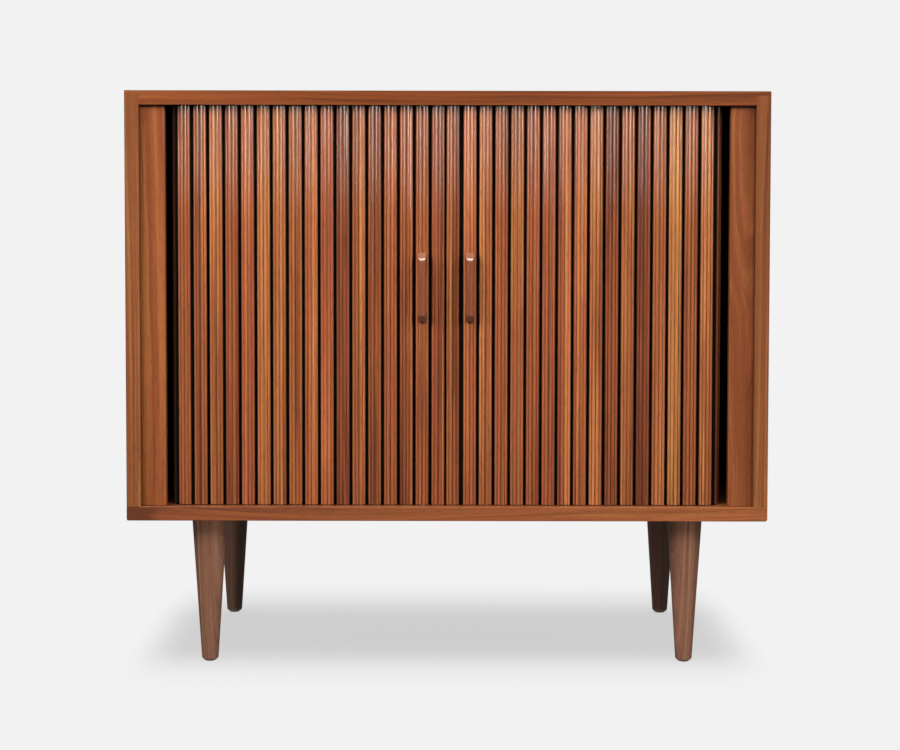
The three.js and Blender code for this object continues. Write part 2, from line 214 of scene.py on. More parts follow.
# ------------------------------------------------------------------ materials
class Shade:
    """Short names for the shader nodes used here."""

    def __init__(self, name):
        self.mat = bpy.data.materials.new(name)
        self.mat.use_nodes = True
        self.tree = self.mat.node_tree
        self.tree.nodes.clear()

    def node(self, kind, inputs=(), **props):
        n = self.tree.nodes.new(kind)
        for k, v in props.items():
            setattr(n, k, v)
        for key, value in dict(inputs).items():
            s = n.inputs[key]
            if isinstance(value, bpy.types.NodeSocket):
                self.tree.links.new(value, s)
            else:
                s.default_value = value
        return n

    def math(self, op, a, b=0.0, c=0.0, clamp=False):
        n = self.node("ShaderNodeMath", {0: a, 1: b, 2: c}, operation=op, use_clamp=clamp)
        return n.outputs[0]

    def vec(self, op, a, b=(0, 0, 0)):
        n = self.node("ShaderNodeVectorMath", {0: a, 1: b}, operation=op)
        return n.outputs[0]

    def xyz(self, x, y, z):
        return self.node("ShaderNodeCombineXYZ", {0: x, 1: y, 2: z}).outputs[0]

    def noise(self, vector, detail=2.0, rough=0.5, scale=1.0, distortion=0.0):
        n = self.node("ShaderNodeTexNoise", {"Vector": vector, "Scale": scale, "Detail": detail, "Roughness": rough,
                                             "Distortion": distortion}, noise_dimensions="3D")
        return n.outputs[0]

    def span(self, value, lo, hi, to_lo=0.0, to_hi=1.0, smooth=False):
        n = self.node("ShaderNodeMapRange", {0: value, 1: lo, 2: hi, 3: to_lo, 4: to_hi}, clamp=True,
                      interpolation_type="SMOOTHSTEP" if smooth else "LINEAR")
        return n.outputs[0]

    def mix(self, factor, a, b, blend="MIX"):
        n = self.node("ShaderNodeMix", {0: factor, 6: a, 7: b}, data_type="RGBA", blend_type=blend, clamp_factor=True)
        return n.outputs[2]

    def ramp(self, value, stops):
        n = self.node("ShaderNodeValToRGB", {0: value})
        r = n.color_ramp
        r.interpolation = "EASE"
        while len(r.elements) > 1:
            r.elements.remove(r.elements[-1])
        r.elements[0].position, r.elements[0].color = stops[0][0], (*stops[0][1], 1)
        for p, c in stops[1:]:
            e = r.elements.new(p)
            e.color = (*c, 1)
        return n.outputs[0]

    def attribute(self, name):
        return self.node("ShaderNodeAttribute", attribute_name=name, attribute_type="GEOMETRY").outputs["Fac"]

    def surface(self, color, rough, bump=None, bump_size=0.0001, bump_strength=0.5, **constant):
        inputs = {"Base Color": color, "Roughness": rough}
        if bump is not None:
            b = self.node("ShaderNodeBump", {"Strength": bump_strength, "Distance": bump_size, "Height": bump})
            inputs["Normal"] = b.outputs[0]
        inputs.update({k.replace("_", " "): v for k, v in constant.items()})
        p = self.node("ShaderNodeBsdfPrincipled", inputs)
        out = self.node("ShaderNodeOutputMaterial")
        self.tree.links.new(p.outputs[0], out.inputs[0])
        return self.mat


def scaled(c, k):
    return tuple(x * k for x in c)


# the wood of the case, doors, handles and legs, in linear light
WALNUT = dict(dark=(0.078, 0.019, 0.0062), mid=(0.170, 0.042, 0.0115), light=(0.265, 0.080, 0.021))
LEG_TONE = dict(dark=(0.075, 0.028, 0.014), mid=(0.150, 0.058, 0.030), light=(0.215, 0.090, 0.050))


def wood(name, tone=WALNUT, axis="Z", seed=0.0, heart=(0.09, 0.05), spacing=0.006, warp=0.016, bands=1.0, streaks=0.55,
         fibre=0.30, blotch=0.35, pores=0.5, shift=0.0, gain=1.0, red=0.0, rough=0.34, IOR=1.42, coat=0.0, low=None, half=None,
         bump_strength=0.45, run=1.0, tint=(1, 1, 1), slope=(0.0, 0.0), hue=0.6, end=None, painted_top_shadow=None):
    """Solid wood in three dimensions. Rings lie round an axis parallel to the grain, `heart` metres away across it; noise warps them and lays
    bands, streaks, fibres and pores along the grain. shift makes the whole piece darker or lighter, red warms it."""
    s = Shade(name)
    obj = s.node("ShaderNodeTexCoord").outputs["Object"]
    parts = s.node("ShaderNodeSeparateXYZ", {0: obj})
    x, y, z = parts.outputs
    a, b, c = {"Z": (x, y, z), "X": (y, z, x), "Y": (x, z, y)}[axis]
    rnd = random.Random(int(seed * 1009) + 17)
    o = [rnd.uniform(-40, 40) for _ in range(12)]

    def at(fa, fc, k):
        """Coordinates squeezed across the grain by fa and along it by fc, moved by the piece's own offsets."""
        return s.xyz(s.math("MULTIPLY_ADD", a, fa, o[k % 12]), s.math("MULTIPLY_ADD", b, fa, o[(k + 3) % 12]),
                     s.math("MULTIPLY_ADD", c, fc * run, o[(k + 7) % 12]))

    sway = s.noise(at(9.0, 1.7, 0), detail=2.0, rough=0.45)
    wobble = s.noise(at(45.0, 5.0, 1), detail=2.0, rough=0.5)
    da, db = s.math("ADD", a, heart[0]), s.math("ADD", b, heart[1])
    ring = s.math("SQRT", s.math("ADD", s.math("MULTIPLY", da, da), s.math("MULTIPLY", db, db)))
    ring = s.math("MULTIPLY_ADD", s.math("SUBTRACT", sway, 0.5), warp * 2, ring)
    ring = s.math("MULTIPLY_ADD", s.math("SUBTRACT", wobble, 0.5), 0.0022, ring)
    wide = s.noise(s.xyz(s.math("MULTIPLY", ring, 1 / spacing), s.math("MULTIPLY", c, 0.9 * run), o[2]), detail=3.0, rough=0.6)
    fine = s.noise(s.xyz(s.math("MULTIPLY", ring, 3.3 / spacing), s.math("MULTIPLY", c, 3.0 * run), o[5]), detail=3.0, rough=0.6)
    thread = s.noise(at(760.0, 14.0, 4), detail=3.0, rough=0.62)
    cloud = s.noise(at(11.0, 3.2, 6), detail=2.0, rough=0.5)

    def part(value, k):
        return s.math("MULTIPLY", s.math("SUBTRACT", value, 0.5), k)

    tone_value = s.math("ADD", part(wide, bands * 1.5), part(fine, streaks))
    tone_value = s.math("ADD", tone_value, part(thread, fibre))
    tone_value = s.math("ADD", tone_value, part(cloud, blotch))
    if half is not None:      # one side of the piece in another tone
        tone_value = s.math("ADD", tone_value, s.span(a, half[0] - 0.0012, half[0] + 0.0012, 0.0, half[1], True))
    if low is not None:       # the wood turns another tone below a height
        edge = s.math("MULTIPLY_ADD", s.math("SUBTRACT", s.noise(at(90.0, 6.0, 8)), 0.5), 0.12, z)
        tone_value = s.math("ADD", tone_value, s.span(edge, low[0] + 0.03, low[0] - 0.03, 0.0, low[1], True))
    if slope[0]:              # lighter or darker towards one end
        along = s.math("SUBTRACT", c, slope[1])
        if slope[2:]:
            along = s.math("MINIMUM", along, slope[2])
        tone_value = s.math("ADD", tone_value, s.math("MULTIPLY", along, slope[0]))
    if painted_top_shadow:                 # painted shadow: the wood is darker above this height, where the top panel shades the slats
        tone_value = s.math("ADD", tone_value, s.span(c, painted_top_shadow[0], painted_top_shadow[1], 0.0, painted_top_shadow[2], True))
    if end:                   # one end of the board is darker: (where it starts, where it is full, tone)
        reach = s.math("MULTIPLY_ADD", s.math("SUBTRACT", s.noise(at(60.0, 8.0, 7)), 0.5), 0.03, c)
        tone_value = s.math("ADD", tone_value, s.span(reach, end[1], end[0], end[2], 0.0, True))
    tone_value = s.math("ADD", tone_value, 0.5 + shift, clamp=True)
    t = {k: tuple(x * gain * y for x, y in zip(v, tint)) for k, v in tone.items()}
    if red:
        t = {k: (v[0] * (1 + 0.05 * red), v[1] * (1 - 0.16 * red), v[2]) for k, v in t.items()}
    color = s.ramp(tone_value, [(0.12, t["dark"]), (0.5, t["mid"]), (0.88, t["light"])])
    # layers of the wood differ in hue: pinkish next to yellowish
    drift = s.noise(s.xyz(s.math("MULTIPLY", ring, 3.0 / spacing), s.math("MULTIPLY", c, 1.1 * run), o[8]), detail=3.0, rough=0.65)
    color = s.mix(hue, color, s.mix(1.0, color, s.ramp(drift, [(0.30, (1.03, 0.86, 1.12)), (0.70, (0.97, 1.14, 0.86))]), "MULTIPLY"))
    # pores: short dark ticks along the grain
    tick = s.noise(at(1500.0, 70.0, 9), detail=1.0, rough=0.4)
    tick = s.span(tick, 0.60, 0.70, 0.0, 1.0, True)
    color = s.mix(s.math("MULTIPLY", tick, pores), color, (*scaled(t["dark"], 0.6), 1), "MIX")
    # rubbed arrises, and painted highlights on the inner arrises of the case; negative marks paint the case's outer
    # arrises dark as shade, and the door groove dark with wax and dust
    mark = s.attribute("wear_dirt_and_painted_edge_light")
    color = s.mix(s.math("MULTIPLY", s.math("MAXIMUM", s.math("MULTIPLY", mark, -1.0), 0.0), 0.85), color, (*scaled(t["dark"], 0.5), 1))
    rubbed_and_lit = s.math("MULTIPLY", s.math("MAXIMUM", mark, 0.0), s.span(s.noise(at(60.0, 30.0, 10), detail=3.0), 0.35, 0.7, 0.25, 1.0))
    color = s.mix(s.math("MULTIPLY", rubbed_and_lit, 0.5), color, (*scaled(t["light"], 1.1), 1))
    # painted shade: the hollows between the beads are painted darker
    color = s.mix(s.math("MULTIPLY", s.attribute("groove"), 0.70), color, s.mix(1.0, color, (0.42, 0.30, 0.26, 1), "MULTIPLY"))
    # painted shade: the slats' sides and backs, deep in the gaps, are painted near black
    color = s.mix(s.attribute("shade"), color, (0.004, 0.003, 0.002, 1))
    height = s.math("ADD", s.math("MULTIPLY", thread, 0.6), s.math("MULTIPLY", tick, -0.8))
    height = s.math("ADD", height, s.math("MULTIPLY", fine, 0.5))
    r = s.math("ADD", part(thread, 0.14), s.math("MULTIPLY", tick, 0.18))
    r = s.math("ADD", r, part(cloud, 0.12))
    r = s.math("ADD", r, s.math("MULTIPLY_ADD", rubbed_and_lit, -0.05, rough))
    return s.surface(color, r, height, bump_size=0.00012, bump_strength=bump_strength, IOR=IOR, Coat_Weight=coat,
                     Coat_Roughness=0.08)


def canvas_cloth(name):
    s = Shade(name)
    obj = s.node("ShaderNodeTexCoord").outputs["Object"]
    x, y, z = s.node("ShaderNodeSeparateXYZ", {0: obj}).outputs
    warp_t = s.math("SINE", s.math("MULTIPLY", x, 2 * math.pi / 0.0009))
    weft = s.math("SINE", s.math("MULTIPLY", z, 2 * math.pi / 0.0009))
    weave = s.math("MULTIPLY", warp_t, weft)
    dust = s.noise(obj, detail=3.0, rough=0.6, scale=40.0)
    color = s.ramp(s.math("ADD", s.math("MULTIPLY", weave, 0.2), dust),
                   [(0.2, (0.0025, 0.002, 0.0018)), (0.8, (0.010, 0.008, 0.007))])
    return s.surface(color, s.span(dust, 0.3, 0.7, 0.85, 0.98), weave, bump_size=0.0002, bump_strength=0.6, IOR=1.2)


def lacquered_steel(name, tone=0.03, rough=0.42, metallic=0.0):
    s = Shade(name)
    obj = s.node("ShaderNodeTexCoord").outputs["Object"]
    n = s.noise(obj, detail=4.0, rough=0.6, scale=260.0)
    rub = s.noise(obj, detail=5.0, rough=0.7, scale=35.0)
    color = s.ramp(s.math("ADD", s.math("MULTIPLY", n, 0.4), s.math("MULTIPLY", rub, 0.6)),
                   [(0.3, scaled((1, 1, 1.02), tone * 0.7)), (0.7, scaled((1, 0.98, 0.95), tone * 1.5))])
    bright = s.mix(s.math("MULTIPLY", s.attribute("wear_dirt_and_painted_edge_light"), s.span(rub, 0.45, 0.65)), color, (0.22, 0.21, 0.20, 1))
    return s.surface(bright, s.span(rub, 0.3, 0.7, rough - 0.08, rough + 0.1), n, bump_size=0.00006, bump_strength=0.4,
                     Metallic=metallic, IOR=1.5)


# ------------------------------------------------------------------ case
TOP_LAP, SEAM = 6.2, 0.02


def case_ring():
    """The four panels as one ring with eased arrises."""
    bm = bmesh.new()
    wear_layer(bm)
    out = [(-HALF_W, CASE_BOTTOM), (HALF_W, CASE_BOTTOM), (HALF_W, CASE_TOP), (-HALF_W, CASE_TOP)]
    inn = [(-INNER_X, INNER_LOW), (INNER_X, INNER_LOW), (INNER_X, INNER_HIGH), (-INNER_X, INNER_HIGH)]
    v = {}
    for key, pts in (("o", out), ("i", inn)):
        for k, (x, z) in enumerate(pts):
            v[key, k, 0] = bm.verts.new((x, 0, z))
            v[key, k, 1] = bm.verts.new((x, CASE_D, z))
    for k in range(4):
        j = (k + 1) % 4
        bm.faces.new((v["o", k, 0], v["o", j, 0], v["i", j, 0], v["i", k, 0]))
        bm.faces.new((v["o", k, 1], v["i", k, 1], v["i", j, 1], v["o", j, 1]))
        bm.faces.new((v["o", k, 0], v["o", k, 1], v["o", j, 1], v["o", j, 0]))
        bm.faces.new((v["i", k, 0], v["i", j, 0], v["i", j, 1], v["i", k, 1]))

    def edge(a, b):
        return bm.edges.get((v[a], v[b]))

    inner = [edge(("i", k, 0), ("i", (k + 1) % 4, 0)) for k in range(4)]
    # the four long corners are rounded by hand, the lower right one most, and marked for painted shade
    for k, width in enumerate((2.2, 3.6, 1.7, 1.0)):
        ease(bm, [edge(("o", k, 0), ("o", k, 1))], width, 6, -0.6)

    def outside(e):
        return all(abs(p.co.x) > INNER_X + 5 or not INNER_LOW - 5 < p.co.z < INNER_HIGH + 5 for p in e.verts)

    # painted shade: the outer rims are eased and marked to be painted dark
    rims = [e for e in bm.edges if outside(e) and abs(e.verts[0].co.y - e.verts[1].co.y) < 1e-3 and e.calc_face_angle(0) > 1.2]
    ease(bm, rims, 0.9, 3, -1.0)
    ease(bm, [e for e in inner if e.is_valid], 0.7, 3)
    bmesh.ops.recalc_face_normals(bm, faces=bm.faces)
    # painted shade: the outer arrises are painted darker, as they turn away from the light; the inner ones are rubbed
    # light, and the bottom's inner arris, facing up into the light, carries a stronger painted highlight
    layer = wear_layer(bm)
    for f in bm.faces:
        n, c = f.normal, f.calc_center_median()
        if max(abs(n.x), abs(n.y), abs(n.z)) > 0.9995:
            f[layer] = 0.0
        elif abs(c.x) < INNER_X + 1 and INNER_LOW - 1 < c.z < INNER_HIGH + 1:
            f[layer] = 1.9 if c.z < INNER_LOW + 0.8 else 1.0
        else:
            f[layer] = -0.5 if abs(n.y) < 0.05 else -1.0
    return bm


def groove_points(grow=0.0):
    h, steps = GROOVE_W / 2, 16
    L, R = DOORS["left"], DOORS["right"]

    def eased(a):
        return GROOVE_EASE * min(1, max(0, (a - 0.7) / 0.55))

    outer = [(-(L["corner"] + TURN_R) - h, GROOVE_END_Y)]
    inner = [(-(L["corner"] + TURN_R) + h + GROOVE_EASE, GROOVE_END_Y)]
    for i in range(steps + 1):
        a = math.pi / 2 * i / steps
        c, s_ = math.cos(a), math.sin(a)
        outer.append((-L["corner"] - (TURN_R + h) * c, PATH_Y + TURN_R - (TURN_R + h) * s_))
        r = TURN_R - h - eased(math.pi / 2 - a)
        inner.append((-L["corner"] - r * c, PATH_Y + TURN_R - r * s_))
    for i in range(steps + 1):
        a = math.pi / 2 * i / steps
        c, s_ = math.cos(a), math.sin(a)
        outer.append((R["corner"] + (TURN_R + h) * s_, PATH_Y + TURN_R - (TURN_R + h) * c))
        r = TURN_R - h - eased(a)
        inner.append((R["corner"] + r * s_, PATH_Y + TURN_R - r * c))
    outer.append((R["corner"] + TURN_R + h, GROOVE_END_Y))
    inner.append((R["corner"] + TURN_R - h - GROOVE_EASE, GROOVE_END_Y))
    return outer + inner[::-1]


def tool(bm):
    ob = to_object("cutter", bm)
    ob.hide_render = True
    return ob


def rabbet():
    return tool(block(-INNER_X - RABBET_W, CASE_D - RABBET_D, INNER_LOW - RABBET_W,
                      INNER_X + RABBET_W, CASE_D + 5, INNER_HIGH + RABBET_W))


LEG_PLACES = {
    "front_left": (-LEG_X, LEG_INSET_Y), "front_right": (LEG_X, LEG_INSET_Y),
    "back_left": (-LEG_X, CASE_D - LEG_INSET_Y), "back_right": (LEG_X, CASE_D - LEG_INSET_Y),
}

pieces = {}


def place(ob, node, material, name=None):
    """ob stands for a CAD node, rides on its body and takes a finish."""
    index = [f.material_index for f in ob.data.polygons]
    ob.data.materials.clear()
    for m in material if isinstance(material, (list, tuple)) else [material]:
        ob.data.materials.append(m)
    ob.data.polygons.foreach_set("material_index", index)
    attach(ob, BODY_OF[node])
    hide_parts(node)
    pieces[ob.name] = ob
    return ob


def weighted(ob):
    m = ob.modifiers.new("normals", "WEIGHTED_NORMAL")
    m.mode, m.weight, m.keep_sharp = "FACE_AREA", 50, True
    settle(ob)
    return ob


def away(x0, z0, x1, z1):
    """Takes everything between these limits out of the case ring, from front to back."""
    return tool(block(x0, -5, z0, x1, CASE_D + 5, z1))


def stain_groove(ob, z0, z1):
    """The walls and the floor of the door groove, between these heights, are dark with wax and dust."""
    wear_dirt_and_painted_edge_light, verts = ob.data.attributes["wear_dirt_and_painted_edge_light"].data, [v.co * 1000 for v in ob.data.vertices]
    for f in ob.data.polygons:
        pts = [verts[i] for i in f.vertices]
        if (all(abs(q.x) < INNER_X - 3 and 14 < q.y < GROOVE_END_Y + 1 and z0 - 0.02 < q.z < z1 + 0.02 for q in pts)
                and abs(sum(q.z for q in pts) / len(pts) - (INNER_LOW if z0 < 500 else INNER_HIGH)) > 0.2
                and not all(LINER_OUT - LINER_T - 0.5 < abs(q.x) < LINER_OUT + 0.5 and q.y > LINER_FRONT_Y - 1 for q in pts)):
            wear_dirt_and_painted_edge_light[f.index].value = -1.0


WAY = HALF_W + 5
LAP_Z = CASE_TOP - TOP_LAP
top = to_object("top_board", case_ring())
cut(top, [away(-WAY, 0, -INNER_X + SEAM, LAP_Z), away(INNER_X - SEAM, 0, WAY, LAP_Z), away(-INNER_X - 1, 0, INNER_X + 1, INNER_LOW + 5)])
cut(top, [rabbet(), tool(prism(groove_points(), "Z", INNER_HIGH - 5, INNER_HIGH + GROOVE_DEPTH)),
          tool(block(LINER_OUT - LINER_T - 0.3, LINER_FRONT_Y - 0.3, INNER_HIGH - 5, LINER_OUT + 0.3, CASE_D - RABBET_D + 1, INNER_HIGH + LINER_DADO)),
          tool(block(-LINER_OUT - 0.3, LINER_FRONT_Y - 0.3, INNER_HIGH - 5, -LINER_OUT + LINER_T + 0.3, CASE_D - RABBET_D + 1, INNER_HIGH + LINER_DADO))])
stain_groove(top, INNER_HIGH, INNER_HIGH + GROOVE_DEPTH)
weighted(top)

bottom = to_object("bottom_board", case_ring())
cut(bottom, [away(-WAY, INNER_LOW, WAY, CASE_TOP + 5)])
tools = [rabbet(), tool(prism(groove_points(), "Z", INNER_LOW - GROOVE_DEPTH, INNER_LOW + 5)),
         tool(block(LINER_OUT - LINER_T - 0.3, LINER_FRONT_Y - 0.3, INNER_LOW - LINER_DADO, LINER_OUT + 0.3, CASE_D - RABBET_D + 1, INNER_LOW + 5)),
         tool(block(-LINER_OUT - 0.3, LINER_FRONT_Y - 0.3, INNER_LOW - LINER_DADO, -LINER_OUT + LINER_T + 0.3, CASE_D - RABBET_D + 1, INNER_LOW + 5))]
for x, y in LEG_PLACES.values():
    tools.append(tool(block(x - 30.5, y - 30.5, CASE_BOTTOM - 5, x + 30.5, y + 30.5, CASE_BOTTOM + 3.4)))
cut(bottom, tools)
stain_groove(bottom, INNER_LOW - GROOVE_DEPTH, INNER_LOW)
weighted(bottom)

sides = {}
for key, sx in (("left", -1), ("right", 1)):
    sides[key] = to_object(key + "_side_board", case_ring())
    a, b = sorted((sx * (INNER_X - SEAM * 2), -sx * WAY))
    cut(sides[key], [away(a, 0, b, CASE_TOP + 5), away(-WAY, 0, WAY, INNER_LOW + SEAM), away(-WAY, LAP_Z - SEAM, WAY, CASE_TOP + 5)])
    cut(sides[key], [rabbet()])
    weighted(sides[key])

place(top, "top_panel", wood("case_top", axis="X", seed=1, heart=(0.24, -0.60), spacing=0.0046, warp=0.014, bands=0.85, streaks=0.8, blotch=0.3, shift=-0.04, red=0.2, slope=(-0.3, 0.0), tint=(0.66, 0.70, 0.65)))
place(bottom, "bottom_panel", wood("case_bottom", axis="X", seed=2, heart=(0.30, -0.42), spacing=0.0050, warp=0.013, bands=0.85, streaks=0.8, blotch=0.3, shift=0.03, red=0.1, slope=(0.5, 0.1), tint=(0.86, 1.02, 1.24), end=(-0.405, -0.44, -0.30)))
place(sides["left"], "left_side_panel", wood("case_left", axis="Z", seed=3, heart=(0.30, 0.12), spacing=0.0050, warp=0.012, bands=0.85, streaks=0.8, blotch=0.3, shift=0.04, slope=(-0.12, 0.52), tint=(0.66, 0.78, 0.94)))
place(sides["right"], "right_side_panel", wood("case_right", axis="Z", seed=4, heart=(-0.33, 0.07), spacing=0.0048, warp=0.013, bands=0.85, streaks=0.8, blotch=0.3, shift=0.04, slope=(-0.4, 0.52), tint=(0.66, 0.79, 0.97)))

back = to_object("back_board", eased_box(-INNER_X - RABBET_W + 0.5, CASE_D - BACK_INSET - BACK_T, INNER_LOW - RABBET_W + 0.5,
                                         INNER_X + RABBET_W - 0.5, CASE_D - BACK_INSET, INNER_HIGH + RABBET_W - 0.5, 0.4, 2))
weighted(back)
place(back, "back_panel",
      wood("back_veneer", axis="Z", seed=5, heart=(0.02, 0.20), spacing=0.011, warp=0.03, shift=-0.06, gain=0.85, rough=0.55))

for key, sx in (("left", -1), ("right", 1)):
    a, b = sorted((sx * JAMB_INNER, sx * (INNER_X - 0.1)))
    ob = to_object(key + "_jamb", eased_box(a, JAMB_SETBACK, INNER_LOW + 0.1, b, JAMB_SETBACK + JAMB_T, INNER_HIGH - 0.1, 0.9, 3))
    weighted(ob)
    place(ob, key + "_jamb_strip",
          wood("jamb_" + key, axis="Z", seed=6 + sx, heart=(-sx * 0.33, 0.10) if sx < 0 else (-0.427, 0.06), spacing=0.0062,
               warp=0.010 if sx < 0 else 0.026, bands=0.9, streaks=0.7, blotch=0.3, shift=0.12 if sx < 0 else 0.05, red=0.1,
               slope=(0.12, 0.52) if sx < 0 else (-0.2, 0.52),
               tint=(0.74, 0.80, 0.88) if sx < 0 else (0.68, 0.75, 0.88)))

for key, sx in (("left", -1), ("right", 1)):
    a, b = sorted((sx * (LINER_OUT - LINER_T), sx * LINER_OUT))
    ob = to_object(key + "_liner_board", eased_box(a, LINER_FRONT_Y, INNER_LOW - LINER_DADO + 0.2, b, CASE_D - RABBET_D - 0.2,
                                                   INNER_HIGH + LINER_DADO - 0.2, 0.8, 3))
    c, d_ = sorted((sx * (LINER_OUT - LINER_T + SHELF_DADO + 0.3), sx * (LINER_OUT - LINER_T - 5)))
    cut(ob, [tool(block(c, SHELF_FRONT_Y - 0.3, SHELF_Z + SHELF_SHOULDER - 0.1, d_, CASE_D, SHELF_Z + SHELF_T - SHELF_SHOULDER + 0.3))])
    weighted(ob)
    place(ob, key + "_liner",
          wood("liner_" + key, axis="Z", seed=9 + sx, heart=(0.1, -0.16), spacing=0.009, warp=0.03, shift=-0.05, rough=0.42))

e, t, lo, hi = LINER_OUT - LINER_T - 0.3, LINER_OUT - LINER_T + SHELF_DADO, SHELF_Z + SHELF_SHOULDER, SHELF_Z + SHELF_T - SHELF_SHOULDER
bm = prism([(-e, SHELF_Z), (e, SHELF_Z), (e, lo), (t, lo), (t, hi), (e, hi), (e, SHELF_Z + SHELF_T), (-e, SHELF_Z + SHELF_T),
            (-e, hi), (-t, hi), (-t, lo), (-e, lo)], "Y", SHELF_FRONT_Y, CASE_D - RABBET_D - 0.5)
wear_layer(bm)
ease(bm, [x for x in bm.edges if all(abs(v.co.y - SHELF_FRONT_Y) < 1e-3 for v in x.verts)
          and abs(x.verts[0].co.z - x.verts[1].co.z) < 1e-3 and x.calc_length() > 300], 1.2, 4)
shelf = weighted(to_object("shelf_board", bm))
place(shelf, "shelf", wood("shelf_wood", axis="X", seed=13, heart=(-0.2, -0.62), spacing=0.008, warp=0.03, shift=-0.02, rough=0.40))

# ------------------------------------------------------------------ legs, plates, glides
leg_profile = rounded(
    [(0, 215.7), (25.0, 215.7), (25.6, 215.1), (21.9, 158.0), (17.8, 95.0), (13.9, 34.0), (12.0, 4.5), (9.6, 1.75), (0, 1.75)],
    [0, 0.3, 0.3, 0, 0, 0, 0.7, 0.4, 0], 3)
# the long taper is straight: its inner points only give the surface more rows
straight = [(25.6 + (12.0 - 25.6) * (215.1 - z) / (215.1 - 4.5), z) for z in (200, 178, 156, 134, 112, 90, 68, 46, 24)]
leg_profile = [p for p in leg_profile if p[1] > 214 or p[1] < 6] + straight
leg_profile.sort(key=lambda p: (-p[1], p[0] if p[1] > 100 else -p[0]))

plate_z = CASE_BOTTOM + 0.1
for k, (key, (x, y)) in enumerate(LEG_PLACES.items()):
    at = (x, y + Y_SHIFT, 0)
    leg = to_object(key + "_turned_leg", turned(leg_profile, 72), sharp=40, at=at)
    place(leg, key + "_leg",
          wood("leg_" + key, tone=LEG_TONE, axis="Z", seed=20 + k, heart=(0.05 if k % 2 else -0.055, 0.035), spacing=0.0055,
               warp=0.012, bands=1.15, streaks=0.85, shift=-0.02, gain=0.64, rough=0.42, IOR=1.38, coat=0.45, slope=(0.25, 0.13),
               tint=(0.97, 1.10, 1.22)))
    bm = turned(rounded([(0, 0), (6.2, 0), (7.9, 0.25), (8.0, 1.5), (1.5, 1.5), (1.5, 12), (0, 12)],
                        [0, 0, 0.5, 0.2, 0, 0.3, 0], 3), 48)
    glide = to_object(key + "_glide", bm, at=at)
    place(glide, key + "_foot_glide", lacquered_steel("glide_" + key, tone=0.045, rough=0.5))
    bm = block(-30, -30, plate_z, 30, 30, plate_z + 3)
    wear_layer(bm)
    ease(bm, [e_ for e_ in bm.edges if abs(e_.verts[0].co.z - e_.verts[1].co.z) > 1], 2.0, 4)
    ease(bm, [e_ for e_ in bm.edges if all(abs(v.co.z - plate_z) < 1e-3 for v in e_.verts)], 0.35, 2)
    plate = to_object(key + "_plate", bm, at=at)
    holes = []
    for sx in (-1, 1):
        for sy in (-1, 1):
            hb = turned([(0, plate_z - 2), (4.2, plate_z - 2), (4.2, plate_z - 0.01), (2.4, plate_z + 1.9), (2.4, plate_z + 5), (0, plate_z + 5)], 28)
            bmesh.ops.translate(hb, verts=hb.verts, vec=(sx * 21.5, sy * 21.5, 0))
            holes.append(tool(hb))
    cut(plate, holes)
    weighted(plate)
    place(plate, key + "_leg_plate", lacquered_steel("plate_" + key, tone=0.03))
    # countersunk screws in the plate, with a cross recess
    bm = bmesh.new()
    for sx in (-1, 1):
        for sy in (-1, 1):
            sb = turned(rounded([(0, plate_z - 0.25), (2.4, plate_z - 0.2), (3.9, plate_z + 0.12), (3.9, plate_z + 0.32), (2.2, plate_z + 1.9),
                                 (2.1, plate_z + 2.9), (0, plate_z + 2.9)], [0, 0.4, 0.1, 0.1, 0, 0, 0], 2), 28)
            for v in sb.verts:
                v.co.x += sx * 21.5
                v.co.y += sy * 21.5
            me = bpy.data.meshes.new("t")
            sb.to_mesh(me)
            sb.free()
            bm.from_mesh(me)
            bpy.data.meshes.remove(me)
    screws = to_object(key + "_plate_screws", bm, at=at)
    slots = []
    for sx in (-1, 1):
        for sy in (-1, 1):
            for w, l in ((0.45, 2.1), (2.1, 0.45)):
                slots.append(tool(block(sx * 21.5 - w, sy * 21.5 - l, plate_z - 1, sx * 21.5 + w, sy * 21.5 + l, plate_z + 0.9)))
    cut(screws, slots)
    screws.data.materials.append(lacquered_steel("screws_" + key, tone=0.35, rough=0.34, metallic=1.0))
    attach(screws, "case")

# ------------------------------------------------------------------ tambour doors


def on_path(corner, u):
    if u <= 0:
        return corner + u, PATH_Y
    if u >= ARC:
        return corner + TURN_R, PATH_Y + TURN_R + (u - ARC)
    return corner + TURN_R * math.sin(u / TURN_R), PATH_Y + TURN_R * (1 - math.cos(u / TURN_R))


def slat_face(rnd):
    """Half of a slat's face from the middle to the edge, (x, depth behind the crest). No two slats are moulded quite alike."""
    top, half, drop = 2.75 + rnd.uniform(-0.12, 0.12), 2.40 + rnd.uniform(-0.08, 0.08), 1.10 + rnd.uniform(-0.08, 0.10)
    lean = rnd.uniform(0.0, 0.15)
    r = (half * half + drop * drop) / (2 * drop)
    pts = [(0.0, 1.50)]
    for i in range(15):                                    # bead: a round of this half width and height
        x = half * (-1 + 2 * i / 14)
        pts.append((top + x, lean + r - math.sqrt(r * r - x * x)))
    last = top + half
    pts += [(last + 0.16, pts[-1][1] + 0.08), (5.85, 0.92), (6.1, 0.50), (6.5, 0.26), (7.0, 0.22), (7.5, 0.36), (7.9, 0.58), (8.3, 0.95),
            (8.65, 1.40), (8.95, 1.95), (9.2, 2.6), (9.35, 3.2), (9.5, 4.0)]
    return pts


